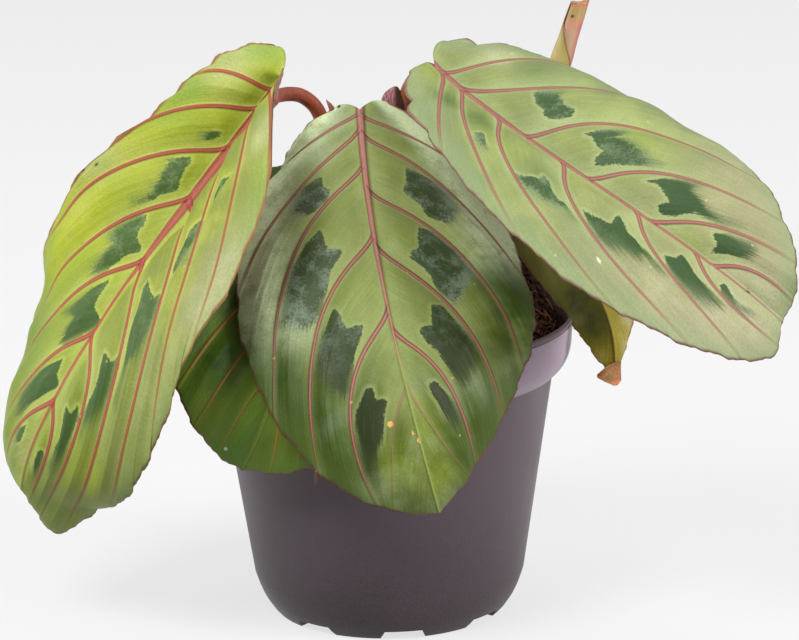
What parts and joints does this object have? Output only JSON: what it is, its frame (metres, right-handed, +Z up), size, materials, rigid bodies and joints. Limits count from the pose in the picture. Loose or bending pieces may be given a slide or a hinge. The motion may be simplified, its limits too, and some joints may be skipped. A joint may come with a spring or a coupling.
{
  "type": "potted prayer plant maranta",
  "caption": "Potted prayer plant with broad oval drooping leaves, dark patches and red veins, one rolled young leaf, in a plain tapering nursery pot filled with soil.",
  "frame": {"origin": "centre of the pot's underside, on the flat disc at the middle of its base, where the pot stands", "axes": "+Z up along the pot's axis, +X to the viewer's right in the picture, along the widest spread of the leaves, +Y away from the viewer"},
  "size_m": [0.1862, 0.1162, 0.1466],
  "materials": {
    "pot": "matte",
    "soil": "matte",
    "shoot_left": "satin",
    "shoot_right": "satin",
    "shoot_rolled": "satin",
    "leaf_front": "satin",
    "leaf_left": "satin",
    "leaf_right": "satin",
    "leaf_back_left": "satin",
    "leaf_back_right": "satin",
    "leaf_rolled": "satin",
    "dry_sheath": "matte"
  },
  "bodies": {
    "root": {"pot": "pot", "soil": "soil", "shoot_left": "shoot_left", "shoot_right": "shoot_right", "shoot_rolled": "shoot_rolled", "leaf_front": "leaf_front", "leaf_left": "leaf_left", "leaf_right": "leaf_right", "leaf_back_left": "leaf_back_left", "leaf_back_right": "leaf_back_right", "leaf_rolled": "leaf_rolled", "dry_sheath": "dry_sheath"}
  },
  "joints": []
}
